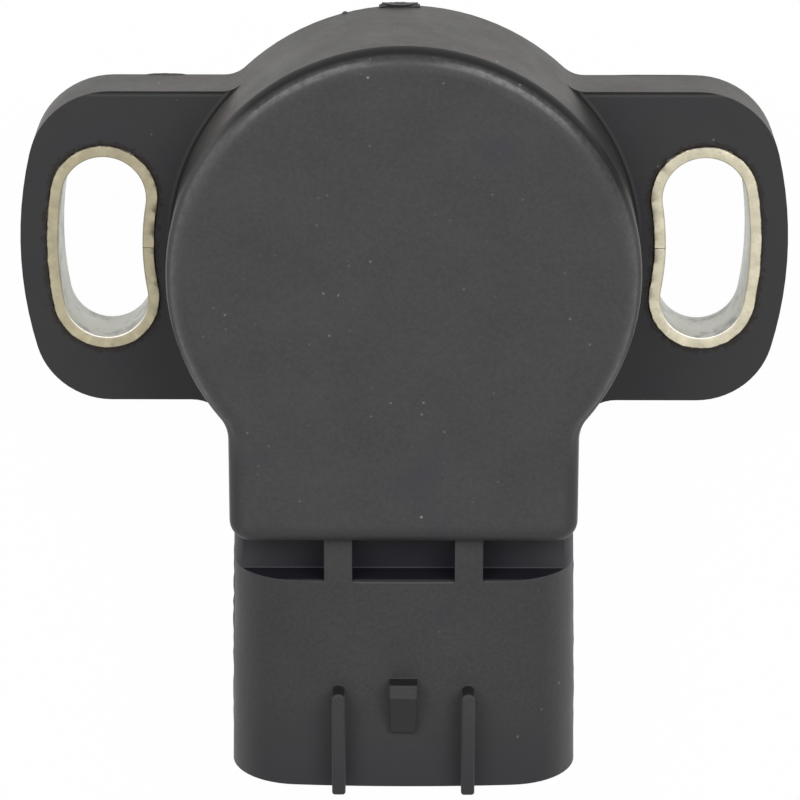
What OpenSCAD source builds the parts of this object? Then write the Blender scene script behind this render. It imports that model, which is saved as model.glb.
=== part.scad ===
// Throttle position sensor with a sprung rotor, two slotted mounting ears and a three-way connector.
// Origin on the rotor's axis at the mounting face. +Z leaves the front face, +Y points away from the
// connector and +X to the right, seen from the front.

/* [Body] */
// Diameter of the round body
body_d = 30.5; // [29.5:0.1:33]
// Height of the front face above the mounting face
front_z = 12; // [11.6:0.1:14]
// Radius of the rounded front rim
rim_r = 1.4; // [0.8:0.1:1.8]
// Thickness of the front wall
front_wall = 1.9; // [1.6:0.1:2.4]
// Thickness of the wall round the rotor's chamber
chamber_wall = 2.65; // [2.2:0.05:2.8]

/* [Neck] */
// Width of the neck between body and connector
neck_w = 22.8; // [20:0.1:23]
// Distance of the neck's end from the rotor's axis
neck_end = 18; // [17:0.1:20]
// Inside radius where the neck meets the round body
neck_blend_r = 2.4; // [1:0.1:3]

/* [Ears] */
// Thickness of the ears
ear_t = 4.3; // [3.5:0.1:6]
// Height of the ears, top edge to bottom edge
ear_h = 21.15; // [20:0.05:22]
// Wall of the ears outside their slots
ear_wall = 1.7; // [1.4:0.05:3.5]
// Radius of the ears' outer side
ear_side_r = 26.6; // [25:0.1:32]
// Radius of the ears' upper corners
ear_upper_r = 5.5; // [3:0.1:6]
// Radius of the ears' lower corners
ear_lower_r = 5; // [3:0.1:6]
// Inside radius where the ears' upper edges meet the body
ear_root_r = 2; // [1:0.1:2.5]
// Inside radius where the ears' lower edges meet the neck
ear_low_root_r = 2.7; // [1:0.1:3]

/* [Adjusting slots] */
// Distance between the two slots' centre lines
slot_pitch = 39.8; // [39:0.1:41]
// Clear width of a slot
slot_w = 5.5; // [5.1:0.1:5.8]
// Adjustment that a slot gives each way from its middle, in degrees
slot_turn = 9.85; // [8:0.05:10.5]
// Thickness of the rolled strip that lines a slot
bushing_t = 0.8; // [0.5:0.05:1]
// Height by which a bushing stands out of the ear's front
bushing_proud = 0.08; // [0.02:0.01:0.3]
// Gap left between the ends of the rolled strip
bushing_seam = 0.1; // [0.05:0.01:0.3]

/* [Connector] */
// Distance of the connector's mouth from the rotor's axis
mouth_end = 35.75; // [34:0.05:40]
// Height of the connector's middle plane above the mounting face
plug_z = 5.1; // [4.9:0.1:5.6]
// Width of the connector's shell at its mouth
shell_w = 23.2; // [22.8:0.1:25]
// Depth of the connector's shell, back to front
shell_d = 11.65; // [11.5:0.05:12.5]
// Corner radius of the connector's shell
shell_corner_r = 4.6; // [3:0.1:5]
// Radius of the shell's slightly domed front and back
shell_crown_r = 100; // [60:1:200]
// Draft of the shell's sides, in degrees
shell_draft = 1.1; // [0.2:0.1:1.5]
// Wall of the connector's shell
shell_wall = 1.2; // [1:0.05:1.3]
// Depth of the connector's cavity
plug_depth = 11.2; // [9:0.1:12]
// Height of the windows cored out below the neck
window_h = 2.95; // [2:0.05:3.2]
// Depth of the windows behind the shell's front
window_depth = 2.5; // [2:0.05:3]
// Width of the two webs that bridge the windows
web_w = 1.85; // [1.5:0.05:2.5]
// Distance between the two webs, and between the two guard ribs, centre to centre
web_pitch = 8.6; // [7.5:0.1:10]

/* [Latch] */
// Width of a guard rib
guard_w = 0.9; // [0.7:0.05:1.2]
// Height of a guard rib above the shell
guard_h = 1.45; // [1:0.05:1.8]
// Length of a guard rib, from the mouth
guard_len = 7.4; // [6:0.1:9]
// Radius of a guard rib's edges
guard_edge_r = 0.2; // [0.1:0.01:0.3]
// Width of the latch ramp at its top
ramp_w = 1.82; // [1.4:0.01:2.5]
// Width by which the latch ramp narrows to its low end
ramp_taper = 0.15; // [0:0.01:0.4]
// Height of the latch ramp
ramp_h = 1.2; // [0.8:0.05:1.5]
// Height left at the ramp's low end
ramp_low = 0.25; // [0.1:0.05:0.4]
// Length of the latch ramp
ramp_len = 3.8; // [3:0.1:5]
// Length of the level land at the ramp's top
ramp_land = 0.95; // [0.5:0.05:1.5]
// Distance of the ramp's low end from the mouth
ramp_from_mouth = 4.1; // [3:0.1:5]

/* [Terminals] */
// Distance between neighbouring terminals
pin_pitch = 4.5; // [4.2:0.1:4.7]
// Width of a blade
blade_w = 2.3; // [1.8:0.1:2.4]
// Thickness of a blade
blade_t = 0.6; // [0.4:0.05:0.7]
// Length of the blades inside the connector
blade_len = 7.5; // [6:0.1:9]
// Length of a blade's tapered tip
blade_lead = 0.8; // [0.5:0.05:1.2]
// Width of the leg that rises to the board
leg_w = 1.1; // [0.8:0.1:1.4]
// Distance of the legs' middle from the rotor's axis
leg_y = 9.95; // [9.8:0.05:10.1]

/* [Board] */
// Thickness of the ceramic board
board_t = 0.8; // [0.6:0.05:1]
// Thickness of the printed films
print_t = 0.08; // [0.05:0.01:0.12]
// Middle radius of the resistor track
resistor_r = 8; // [7.9:0.05:8.1]
// Middle radius of the collector track
collector_r = 5.5; // [5.3:0.1:5.6]
// Width of a track
track_w = 1.4; // [1.2:0.05:1.5]
// Width of a printed lead
lead_w = 0.9; // [0.6:0.05:1.1]
// Width of a solder pad
pad_w = 1.8; // [1.6:0.05:2]
// Height of a solder pad
pad_h = 1.4; // [1.2:0.05:1.5]

/* [Rotor] */
// Travel of the rotor from its stop, in degrees
rotor_travel = 100; // [80:1:102]
// Direction of the wiper at rest, in degrees from +X
wiper_rest = 40; // [38:1:42]
// Radius of the rotor's rear hub
hub_r = 5.6; // [5.5:0.05:5.8]
// Height by which the hub stands behind the mounting face
hub_back = 1.2; // [0.8:0.1:1.8]
// Radius of the rotor's front journal
journal_r = 2; // [1.6:0.05:2.2]
// Radius of the rotor's flange
flange_r = 8.9; // [8.7:0.05:9]
// Thickness of the rotor's flange
flange_t = 1.4; // [1.2:0.05:1.6]
// Height of the shoulder under the front journal
shoulder_h = 1; // [0.8:0.05:1.1]
// Radial running clearance in both bearings
running_gap = 0.05; // [0.03:0.01:0.08]
// Angle that the stop lug takes up on the flange
lug_angle = 14; // [10:1:18]
// Radius of the drive socket's round sides
socket_r = 3.5; // [3.3:0.05:3.7]
// Distance across the drive socket's flats
socket_flats = 4.6; // [4.4:0.1:5]

/* [Wiper] */
// Thickness of the wiper's strip
wiper_t = 0.18; // [0.12:0.01:0.22]
// Width of a wiper's finger
finger_w = 0.3; // [0.25:0.01:0.35]
// Distance between neighbouring fingers
finger_pitch = 0.45; // [0.42:0.01:0.5]
// Length of a finger from its root to its end
finger_len = 3.4; // [3.2:0.1:3.8]

/* [Rear cover] */
// Thickness of the rear cover
cover_t = 2.2; // [2:0.05:2.3]
// Radius of the locating spigot
spigot_r = 9.5; // [9.2:0.05:9.6]
// Wall of the locating spigot
spigot_wall = 1.5; // [1:0.05:1.6]
// Height of the locating spigot behind the mounting face
spigot_h = 2.6; // [2:0.1:3.5]
// Thickness of the mounting seal's round section
seal_d = 1.4; // [1.2:0.05:1.5]
// Height by which the mounting seal stands out of its groove
seal_proud = 0.3; // [0.2:0.05:0.4]
// Depth of the shaft seal
lip_depth = 1.2; // [1:0.05:1.4]

/* [Return spring] */
// Wire thickness
wire_d = 0.55; // [0.4:0.05:0.6]
// Radial clearance between the coil and the rear bearing that it stands round
coil_gap = 0.575; // [0.4:0.025:0.8]
// Turns of the coil
coil_turns = 3.5; // [2:0.5:4]

/* [Hidden] */
$fn = 96;

// Solids that join overlap by eps. A cut runs on past its faces by over.
eps = 0.01;
over = 1;
// Where two curves run into each other, one cuts into the other by this hair, so that they cross.
// The neck's blends cut in deeper, because their rounded rims cross the body's rim as well.
bite = 0.004;
blend_bite = 3 * bite;

// Direction of a vector
function unit(v) = v / norm(v);

// Round body and its chamber
body_r = body_d / 2;
chamber_r = body_r - chamber_wall;
chamber_z = front_z - front_wall;
seat_r = chamber_r + 0.6;

// Centre of the inside curve between body and neck, and the angle that it turns through. It is
// rounded to a micron, so that the curve ends exactly on the neck's side.
blend_x = neck_w / 2 + neck_blend_r;
blend_y = round(1000 * sqrt(pow(body_r + neck_blend_r - blend_bite, 2) - pow(blend_x, 2))) / 1000;
blend_angle = atan(blend_y / blend_x);

// Slots
slot_r = slot_pitch / 2;
bushing_w = slot_w + 2 * bushing_t;

// Ears: centre of the outer side's arc, and of the corner of radius r that it runs into
ear_side_x = slot_r + bushing_w / 2 + ear_wall - ear_side_r;
function ear_corner(r) = let (y = ear_h / 2 - r)
    [ear_side_x + sqrt(pow(ear_side_r - r, 2) - pow(y, 2)), y];

// Connector
shell_len = mouth_end - neck_end;
shell_front = plug_z + shell_d / 2;
window_floor = neck_end + window_h;
plug_floor = mouth_end - plug_depth;

// Scar of the moulding gate on top of the body, cut off by the mounting face
gate_r = 1.3;
gate_h = 0.19;
gate_x = -0.3;
gate_z = -0.55;

// Terminals: where they narrow inside the neck, and the taper of their tips
narrow_from = neck_end - 2;
narrow_to = neck_end - 3;
tip_thin = 0.15;
tip_narrow = 0.3;

// Board, counted back from the front wall, and the stakes that hold it
board_z = chamber_z - board_t;
print_z = board_z - print_t;
board_r = chamber_r - 0.3;
stake_r = 0.7;
stake_gap = 0.05;
stake_at = board_r - 1.5;
stake_head_r = stake_r + 0.5;
stake_head_h = 0.5;
stake_angles = [90, 190, 350];
boss_r = journal_r + 1.4;
boss_h = 1.5;
boss_z = chamber_z - boss_h;
bearing_depth = boss_h + front_wall / 2;

// Printed tracks and the solder on their pads
track_spare_angle = 12;
track_from = wiper_rest - track_spare_angle;
track_to = wiper_rest + rotor_travel + track_spare_angle;
collector_end_angle = 275;
lead_spare_angle = 3;
solder_h = 0.6;
solder_top_r = 0.62;
solder_foot_r = 0.88;

// Rotor, counted back from the bearing boss
washer_t = 0.5;
washer_gap = 0.05;
washer_r = boss_r - 0.1;
shoulder_z = boss_z - washer_t - 2 * washer_gap;
flange_top = shoulder_z - shoulder_h;
flange_z = flange_top - flange_t;
journal_len = boss_z + bearing_depth - 0.3 - shoulder_z;
insert_r = hub_r - 1;
insert_top = flange_z - 0.6;

// Lug and stops. The stops stand this angle beyond the joint's travel.
lug_r = chamber_r - 1.4;
stop_gap = 0.8;
stop_angle = 10;
stop_inner_r = lug_r - 1.2;
stop_low = flange_z - 0.4;
closed_stop = wiper_rest - lug_angle / 2 - stop_gap;
open_stop = wiper_rest + rotor_travel + lug_angle / 2 + stop_gap;

// Wiper: tips just clear of the films, and two stakes that hold its plate
wiper_tip_z = print_z - 0.1;
plate_x = 4.3;
plate_y = 2.3;
plate_h = 2.8;
wiper_stakes = [5.1, 7.7];
wiper_stake_y = -1.5;
wiper_stake_r = 0.4;
wiper_head_r = 0.65;
wiper_head_h = 0.3;

// Rear cover, its bearing, and the recesses of its two seals
cover_r = seat_r - 0.05;
bearing_r = hub_r + running_gap;
bearing_wall = 1.1;
bearing_top = cover_t + 0.8;
lip_r = bearing_r + 1.75;
groove_depth = seal_d - seal_proud;
seal_r = spigot_r + 0.9 + seal_d / 2;
groove_gap = 0.1;
sealant_w = 0.6;

// Return spring, with a foot in the cover and a foot in the rotor
foot_hole_d = wire_d + 0.2;
foot_in = 0.9;
foot_gap = 0.1;
coil_r = bearing_r + bearing_wall + coil_gap + wire_d / 2;
coil_pitch = wire_d + 0.15;
coil_low = bearing_top - 0.2;
coil_high = coil_low + coil_turns * coil_pitch;
spring_foot = 200;
spring_end = spring_foot + 360 * coil_turns;
bend_angle = 4;
bend_h = 0.35;
ring_sides = 8;
ring_step = 18;
rings_on_coil = floor(360 * coil_turns / ring_step);

// Part of a ring between two angles
module arc_band(r, w, from, to) {
    far = 1.2 * (r + w);
    intersection() {
        difference() {
            circle(r = r + w / 2);
            circle(r = r - w / 2);
        }
        polygon(concat([[0, 0]], [for (i = [0 : 6]) let (a = from + (to - from) * i / 6)
            far * [cos(a), sin(a)]]));
    }
}

// Kidney shape of a slot, bent round the rotor's axis
module kidney(w) {
    arc_band(slot_r, w, -slot_turn, slot_turn);
    for (side = [-1, 1]) {
        rotate(side * slot_turn) translate([slot_r, 0]) circle(d = w + 2 * bite);
    }
}

// Round body with its rounded rim
module round_body() {
    rotate_extrude() {
        square([body_r, front_z - rim_r]);
        square([body_r - rim_r, front_z]);
        translate([body_r - rim_r, front_z - rim_r]) circle(r = rim_r);
    }
}

// Neck with the same rim on its sides and its end. Its sides run on a little inside the blends.
module neck() {
    in_x = neck_w / 2 - rim_r;
    in_y = neck_end - rim_r;
    top_z = front_z - rim_r;
    side_len = in_y - blend_y + over;
    translate([-in_x, -in_y, 0]) cube([2 * in_x, in_y, front_z]);
    translate([-neck_w / 2, -in_y, 0]) cube([neck_w, side_len, top_z]);
    translate([-in_x, -neck_end, 0]) cube([2 * in_x, rim_r + eps, top_z]);
    translate([-in_x, -in_y, top_z]) rotate([0, 90, 0]) cylinder(r = rim_r, h = 2 * in_x);
    for (side = [-1, 1]) {
        translate([side * in_x, -in_y, 0]) cylinder(r = rim_r, h = top_z);
        translate([side * in_x, -in_y, top_z]) sphere(r = rim_r);
        translate([side * in_x, -in_y, top_z]) rotate([-90, 0, 0])
            cylinder(r = rim_r, h = side_len);
    }
}

// Inside curve from the round body to the neck, which carries the rim round with it
module neck_blend() {
    reach = 2.5 * rim_r;
    translate([blend_x, -blend_y, 0]) mirror([1, 0, 0]) rotate_extrude(angle = blend_angle)
        translate([neck_blend_r, 0]) {
            square([reach, front_z - rim_r]);
            translate([rim_r, 0]) square([reach - rim_r, front_z]);
            translate([rim_r, front_z - rim_r]) circle(r = rim_r);
        }
}

// Outline of the right ear, from the axis outwards
module ear_outline() {
    middle = [ear_side_x, 0];
    upper = ear_corner(ear_upper_r);
    mirrored = ear_corner(ear_lower_r);
    lower = [mirrored.x, -mirrored.y];
    far = 1.3 * ear_side_r;
    polygon([[0, -ear_h / 2], [lower.x, -ear_h / 2], lower, upper, [upper.x, ear_h / 2],
        [0, ear_h / 2]]);
    translate(upper) circle(r = ear_upper_r);
    translate(lower) circle(r = ear_lower_r);
    intersection() {
        translate(middle) circle(r = ear_side_r);
        polygon([middle, middle + far * unit(lower - middle), middle + far * unit(upper - middle)]);
    }
}

// Inside curve of the ear's upper root, against the round body
module upper_root() {
    top_y = ear_h / 2;
    root_y = top_y + ear_root_r;
    root_x = sqrt(pow(body_r + ear_root_r - bite, 2) - pow(root_y, 2));
    inside = [root_x, root_y] * (body_r - 2 * over) / (body_r + ear_root_r);
    difference() {
        polygon([[root_x, top_y - over], [root_x, root_y], inside, [inside.x, top_y - over]]);
        translate([root_x, root_y]) circle(r = ear_root_r);
    }
}

// Inside curve of the ear's lower root, against the neck
module lower_root() {
    side_x = neck_w / 2;
    low_y = -ear_h / 2;
    r = ear_low_root_r;
    difference() {
        translate([side_x - over, low_y - r]) square(r + over);
        translate([side_x + r, low_y - r]) circle(r = r);
        translate([side_x + r, low_y - 2 * r]) square([r, 2 * r]);
    }
}

module ear() {
    linear_extrude(ear_t) {
        ear_outline();
        upper_root();
        lower_root();
    }
}

// Section of the connector's shell, taken in by inset
module shell_section(inset) {
    crown_r = shell_crown_r - inset;
    corner_r = shell_corner_r - inset;
    half_d = shell_d / 2 - inset;
    corner_x = shell_w / 2 - shell_corner_r;
    corner_y = half_d - crown_r + sqrt(pow(crown_r - corner_r, 2) - pow(corner_x, 2));
    lean = asin(corner_x / (crown_r - corner_r));
    touch = [corner_x, corner_y] + 1.5 * corner_r * [sin(lean), cos(lean)];
    square([2 * corner_x + 2 * corner_r, 2 * corner_y], center = true);
    for (sx = [-1, 1], sy = [-1, 1]) {
        translate([sx * corner_x, sy * corner_y]) circle(r = corner_r);
    }
    intersection() {
        translate([0, half_d - crown_r]) circle(r = crown_r);
        translate([0, crown_r - half_d]) circle(r = crown_r);
        polygon([[corner_x, corner_y], touch, [-touch.x, touch.y], [-corner_x, corner_y],
            [-corner_x, -corner_y], [-touch.x, -touch.y], [touch.x, -touch.y],
            [corner_x, -corner_y]]);
    }
}

// Drafted length of that section, from the mouth inwards. Each half leans by the draft.
module shell_block(inset, len) {
    for (side = [0, 1]) {
        mirror([side, 0, 0]) intersection() {
            translate([0, -mouth_end, plug_z]) rotate([0, 0, shell_draft]) rotate([-90, 0, 0])
                translate([0, 0, -over]) linear_extrude(len + 2 * over) shell_section(inset);
            translate([0, -mouth_end, plug_z - shell_d]) cube([shell_w, len, 2 * shell_d]);
        }
    }
}

// Windows cored out of the shell's front below the neck, on both sides of the two webs
module windows() {
    inner = web_pitch / 2 - web_w / 2;
    outer = web_pitch / 2 + web_w / 2;
    for (from_to = [[-shell_w, -outer], [-inner, inner], [outer, shell_w]]) {
        translate([from_to[0], -window_floor, shell_front - window_depth])
            cube([from_to[1] - from_to[0], window_h, front_z]);
    }
}

// Section of a guard rib from inside the shell's wall upwards, with rounded top edges
module guard_section(high) {
    in_x = guard_w / 2 - guard_edge_r;
    translate([-guard_w / 2, 0]) square([guard_w, high - guard_edge_r]);
    translate([-in_x, 0]) square([2 * in_x, high]);
    for (side = [-1, 1]) {
        translate([side * in_x, high - guard_edge_r]) circle(r = guard_edge_r);
    }
}

// Guard rib beside the latch ramp. It ends in a half round towards the neck, and in rounded corners
// at the mouth.
module guard_rib() {
    e = guard_edge_r;
    in_x = guard_w / 2 - e;
    high = guard_h + shell_wall / 2;
    round_y = guard_len - guard_w / 2;
    translate([0, -mouth_end, shell_front - shell_wall / 2]) {
        translate([0, round_y, 0]) {
            rotate([90, 0, 0]) linear_extrude(round_y - e) guard_section(high);
            rotate_extrude() intersection() {
                guard_section(high);
                square(2 * high);
            }
        }
        translate([-in_x, 0, 0]) cube([2 * in_x, 2 * e, high - e]);
        translate([-in_x, e, high - e]) rotate([0, 90, 0]) cylinder(r = e, h = 2 * in_x);
        for (side = [-1, 1]) {
            translate([side * in_x, e, 0]) cylinder(r = e, h = high - e);
            translate([side * in_x, e, high - e]) sphere(r = e);
        }
    }
}

// Ramp that the mating connector's latch rides over
module latch_ramp() {
    low_y = -mouth_end + ramp_from_mouth;
    high_y = low_y + ramp_len;
    base_z = shell_front - shell_wall / 2;
    low_x = (ramp_w - ramp_taper) / 2;
    intersection() {
        translate([-ramp_w / 2, 0, 0]) rotate([90, 0, 90]) linear_extrude(ramp_w)
            polygon([[low_y, base_z], [low_y, shell_front + ramp_low],
                [high_y - ramp_land, shell_front + ramp_h], [high_y, shell_front + ramp_h],
                [high_y, base_z]]);
        linear_extrude(2 * front_z) polygon([[-low_x, low_y], [low_x, low_y],
            [ramp_w / 2, high_y], [-ramp_w / 2, high_y]]);
    }
}

module gate_mark() {
    intersection() {
        translate([gate_x, body_r - gate_r, gate_z]) rotate([-90, 0, 0])
            cylinder(r = gate_r, h = gate_r + gate_h);
        translate([gate_x - 2 * gate_r, 0, 0]) cube([4 * gate_r, 2 * body_r, 2 * gate_r]);
    }
}

// Everything that the moulding shows from outside, still solid
module housing_outside() {
    round_body();
    neck();
    for (side = [0, 1]) {
        mirror([side, 0, 0]) neck_blend();
    }
    ear();
    mirror([1, 0, 0]) ear();
    difference() {
        shell_block(0, shell_len);
        windows();
    }
    for (side = [-1, 1]) {
        translate([side * web_pitch / 2, 0, 0]) guard_rib();
    }
    latch_ramp();
    gate_mark();
}

// Connector's cavity, as far as its floor
module shell_cavity() {
    translate([0, -eps, 0]) shell_block(shell_wall, plug_depth);
}

// Stops that the rotor's lug meets at the two ends of its travel
module travel_stops() {
    w = chamber_r - stop_inner_r + 0.3;
    translate([0, 0, stop_low]) linear_extrude(chamber_z - stop_low + eps) {
        arc_band(stop_inner_r + w / 2, w, closed_stop - stop_angle, closed_stop);
        arc_band(stop_inner_r + w / 2, w, open_stop, open_stop + stop_angle);
    }
}

// Stakes of the moulding that hold the board, with their heads formed over
module board_stakes() {
    for (a = stake_angles) {
        rotate([0, 0, a]) translate([stake_at, 0, 0]) {
            translate([0, 0, board_z]) cylinder(r = stake_r, h = board_t + eps);
            translate([0, 0, board_z - stake_head_h]) cylinder(r = stake_head_r, h = stake_head_h);
        }
    }
}

module housing() {
    color([0.26, 0.26, 0.27]) difference() {
        union() {
            difference() {
                housing_outside();
                translate([0, 0, -eps]) cylinder(r = chamber_r, h = chamber_z + eps);
                translate([0, 0, -eps]) cylinder(r = seat_r, h = cover_t + eps);
                shell_cavity();
                for (side = [0, 1]) {
                    mirror([side, 0, 0]) translate([0, 0, -eps])
                        linear_extrude(ear_t + 2 * eps) kidney(bushing_w);
                }
            }
            translate([0, 0, boss_z]) cylinder(r = boss_r, h = boss_h + eps);
            travel_stops();
            board_stakes();
        }
        translate([0, 0, boss_z - eps]) cylinder(r = journal_r + running_gap, h = bearing_depth);
        for (i = [-1 : 1]) {
            translate([i * pin_pitch, 0, 0]) terminal();
        }
    }
}

// Rolled strip that lines a slot, open at its seam on the side of the body
module bushing() {
    difference() {
        linear_extrude(ear_t + bushing_proud) difference() {
            kidney(bushing_w);
            kidney(slot_w);
        }
        translate([slot_r - bushing_w / 2 - over, -bushing_seam / 2, -eps])
            cube([bushing_t + 2 * over, bushing_seam, ear_t + bushing_proud + 2 * eps]);
    }
}

module left_bushing() {
    color([0.72, 0.68, 0.58]) mirror([1, 0, 0]) bushing();
}

module right_bushing() {
    color([0.72, 0.68, 0.58]) bushing();
}

// Cover with the rear bearing, the locating spigot and the groove of the mounting seal
module rear_cover() {
    color([0.2, 0.2, 0.21]) difference() {
        union() {
            cylinder(r = cover_r, h = cover_t);
            translate([0, 0, -spigot_h]) cylinder(r = spigot_r, h = spigot_h + eps);
            cylinder(r = bearing_r + bearing_wall, h = bearing_top);
        }
        translate([0, 0, -spigot_h - eps]) cylinder(r = spigot_r - spigot_wall, h = spigot_h + eps);
        translate([0, 0, -eps]) cylinder(r = lip_r, h = lip_depth + eps);
        cylinder(r = bearing_r, h = bearing_top + eps);
        translate([0, 0, -eps]) rotate_extrude()
            translate([seal_r - seal_d / 2 - groove_gap, 0])
                square([seal_d + 2 * groove_gap, groove_depth + eps]);
        rotate_extrude() polygon([[cover_r - sealant_w, -eps], [cover_r + over, -eps],
            [cover_r + over, sealant_w + over], [cover_r, sealant_w]]);
        rotate([0, 0, spring_foot]) translate([coil_r, 0, cover_t - foot_in])
            cylinder(d = foot_hole_d, h = foot_in + over);
    }
}

// Bead of sealant in the joint between cover and moulding
module cover_sealant() {
    color([0.12, 0.12, 0.13]) rotate_extrude()
        polygon([[cover_r - sealant_w + eps, 0], [seat_r, 0], [seat_r, sealant_w],
            [cover_r + eps, sealant_w]]);
}

// Round rubber ring that seals the sensor to what it is mounted on
module mount_seal() {
    color([0.1, 0.1, 0.11]) translate([0, 0, groove_depth - seal_d / 2]) rotate_extrude()
        translate([seal_r, 0]) circle(d = seal_d);
}

// Lip seal round the rotor's hub: a ring in its seat, a web, and the lip that leans to the hub
module shaft_seal() {
    back = 0.1;
    web_z = lip_depth / 2 + back;
    lip_w = 0.5;
    ring_w = 0.4;
    color([0.14, 0.14, 0.15]) rotate_extrude()
        polygon([[bearing_r, back], [bearing_r + lip_w, back], [bearing_r + 1.5 * lip_w, web_z],
            [lip_r - 1.5 * ring_w, web_z], [lip_r - ring_w, back], [lip_r, back],
            [lip_r, lip_depth], [bearing_r + 0.6 * lip_w, lip_depth], [bearing_r, lip_w]]);
}

// Terminal: a blade in the connector, a run through the neck and a leg up to the board
module terminal() {
    low = plug_z - blade_t / 2;
    high = plug_z + blade_t / 2;
    tip = -plug_floor - blade_len;
    full = tip + blade_lead;
    foot = -leg_y - blade_t / 2;
    foot_end = -leg_y + blade_t / 2;
    half_w = blade_w / 2;
    half_leg = leg_w / 2;
    intersection() {
        translate([-half_w, 0, 0]) rotate([90, 0, 90]) linear_extrude(blade_w)
            polygon([[tip, low + tip_thin], [tip, high - tip_thin], [full, high], [foot, high],
                [foot, print_z], [foot_end, print_z], [foot_end, low], [full, low]]);
        linear_extrude(front_z) polygon([[tip_narrow - half_w, tip], [half_w - tip_narrow, tip],
            [half_w, full], [half_w, -narrow_from], [half_leg, -narrow_to],
            [half_leg, foot_end + over], [-half_leg, foot_end + over],
            [-half_leg, -narrow_to], [-half_w, -narrow_from], [-half_w, full]]);
    }
}

module supply_terminal() {
    color([0.78, 0.76, 0.7]) translate([-pin_pitch, 0, 0]) terminal();
}

module signal_terminal() {
    color([0.78, 0.76, 0.7]) terminal();
}

module ground_terminal() {
    color([0.78, 0.76, 0.7]) translate([pin_pitch, 0, 0]) terminal();
}

// Ceramic board, notched where the travel stops pass it
module sensor_board() {
    notch_gap = 0.1;
    side_gap = 1;
    w = board_r - stop_inner_r + over;
    notch_r = stop_inner_r - notch_gap + w / 2;
    color([0.9, 0.89, 0.84]) translate([0, 0, board_z]) linear_extrude(board_t) difference() {
        circle(r = board_r);
        circle(r = boss_r + 0.2);
        for (a = stake_angles) {
            rotate(a) translate([stake_at, 0]) circle(r = stake_r + stake_gap);
        }
        arc_band(notch_r, w, closed_stop - stop_angle - side_gap, closed_stop + side_gap);
        arc_band(notch_r, w, open_stop - side_gap, open_stop + stop_angle + side_gap);
    }
}

// Films are printed on the board's rear face
module film() {
    translate([0, 0, print_z]) linear_extrude(print_t) children();
}

module pad(x) {
    translate([x - pad_w / 2, -leg_y - pad_h / 2]) square([pad_w, pad_h]);
}

module resistor_track() {
    color([0.12, 0.12, 0.12]) film() arc_band(resistor_r, track_w, track_from, track_to);
}

module collector_track() {
    color([0.75, 0.72, 0.66]) film() {
        arc_band(collector_r, track_w, track_from, track_to);
        arc_band(collector_r, lead_w, track_to, collector_end_angle);
        translate([-lead_w / 2, -leg_y]) square([lead_w, leg_y - collector_r + lead_w / 4]);
        pad(0);
    }
}

// Silver lead from the left end of the resistor to the supply's pad
module side_lead() {
    down_x = pin_pitch - 0.3;
    down_y = sqrt(pow(resistor_r, 2) - pow(down_x, 2));
    turn = atan(down_y / down_x);
    arc_band(resistor_r, lead_w, track_to, 180 + turn + lead_spare_angle);
    translate([-down_x - lead_w / 2, -leg_y]) square([lead_w, leg_y - down_y]);
    pad(-pin_pitch);
}

module supply_lead() {
    color([0.75, 0.72, 0.66]) film() side_lead();
}

module ground_lead() {
    color([0.75, 0.72, 0.66]) film() mirror([1, 0]) side_lead();
}

// Solder round the top of a terminal's leg, as far as the pad's edges
module solder(x) {
    color([0.8, 0.8, 0.8]) difference() {
        translate([x, -leg_y, print_z - solder_h])
            cylinder(r1 = solder_top_r, r2 = solder_foot_r, h = solder_h);
        translate([x - leg_w / 2, -leg_y - blade_t / 2, print_z - over])
            cube([leg_w, blade_t, 2 * over]);
        for (y = [-leg_y - pad_h / 2 - over, -leg_y + pad_h / 2]) {
            translate([x - over, y, print_z - over]) cube([2 * over, over, 2 * over]);
        }
    }
}

module supply_solder() {
    solder(-pin_pitch);
}

module signal_solder() {
    solder(0);
}

module ground_solder() {
    solder(pin_pitch);
}

// Washer between the rotor's shoulder and the front bearing
module thrust_washer() {
    color([0.9, 0.88, 0.8]) translate([0, 0, boss_z - washer_gap - washer_t]) difference() {
        cylinder(r = washer_r, h = washer_t);
        translate([0, 0, -eps]) cylinder(r = journal_r + 0.1, h = washer_t + 2 * eps);
    }
}

// Middle line of the return spring
function on_coil(angle, z) = [coil_r * cos(angle), coil_r * sin(angle), z];
spring_line = concat(
    [on_coil(spring_foot, cover_t - foot_in + foot_gap), on_coil(spring_foot, coil_low - bend_h)],
    [for (i = [0 : rings_on_coil]) let (f = i / rings_on_coil)
        on_coil(spring_foot + bend_angle + f * (spring_end - spring_foot - 2 * bend_angle),
            coil_low + f * (coil_high - coil_low))],
    [on_coil(spring_end, coil_high + bend_h), on_coil(spring_end, flange_z + foot_in - 0.4)]);

// Ring of points round the line at one place
function cross_of(a, b) = [a.y * b.z - a.z * b.y, a.z * b.x - a.x * b.z, a.x * b.y - a.y * b.x];
function along(line, i) = unit(line[min(i + 1, len(line) - 1)] - line[max(i - 1, 0)]);
function ring_at(line, i) = let (
    t = along(line, i),
    out = [line[i].x, line[i].y, 0],
    n = unit(out - (out * t) * t),
    b = cross_of(t, n))
    [for (k = [0 : ring_sides - 1]) let (a = 360 * k / ring_sides)
        line[i] + wire_d / 2 * (cos(a) * n + sin(a) * b)];

module return_spring() {
    rings = len(spring_line);
    color([0.7, 0.7, 0.72]) polyhedron(
        points = [for (i = [0 : rings - 1]) each ring_at(spring_line, i)],
        faces = concat(
            [[for (k = [0 : ring_sides - 1]) k]],
            [for (i = [0 : rings - 2], k = [0 : ring_sides - 1])
                let (a = i * ring_sides, k2 = (k + 1) % ring_sides)
                [a + k, a + ring_sides + k, a + ring_sides + k2, a + k2]],
            [[for (k = [ring_sides - 1 : -1 : 0]) (rings - 1) * ring_sides + k]]));
}

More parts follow.
